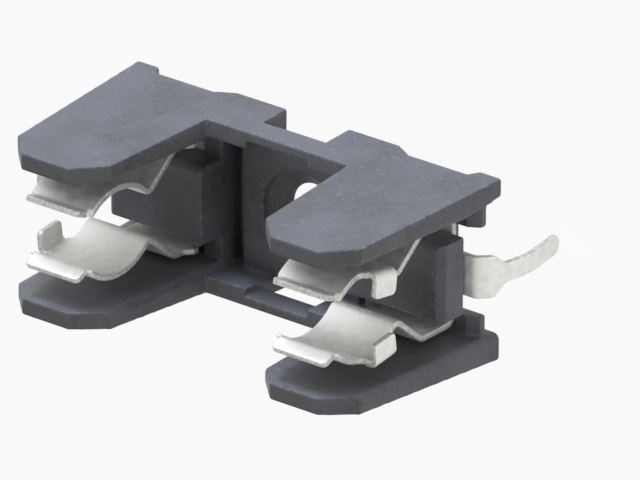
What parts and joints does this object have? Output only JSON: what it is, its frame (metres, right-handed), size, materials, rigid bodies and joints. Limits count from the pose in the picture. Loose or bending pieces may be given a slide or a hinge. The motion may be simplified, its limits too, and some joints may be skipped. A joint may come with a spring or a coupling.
{
  "type": "pcb fuse holder",
  "caption": "Open fuse holder for a circuit board: dark moulded housing with paired guard arms, spring clips at its ends, bowed solder pins and a fixing hole between the clips.",
  "frame": {"origin": "centre of the screw hole at the board face, which is the underside of the feet", "axes": "+X along the fuse, +Y across the housing, +Z away from the board towards the open side where the fuse goes in"},
  "size_m": [0.026, 0.0104, 0.0171],
  "materials": {
    "moulding": "fine matt moulded surface",
    "spring_sheet": "satin tin plate"
  },
  "bodies": {
    "root": {"housing": "moulding", "left_clip": "spring_sheet", "right_clip": "spring_sheet"}
  },
  "joints": []
}
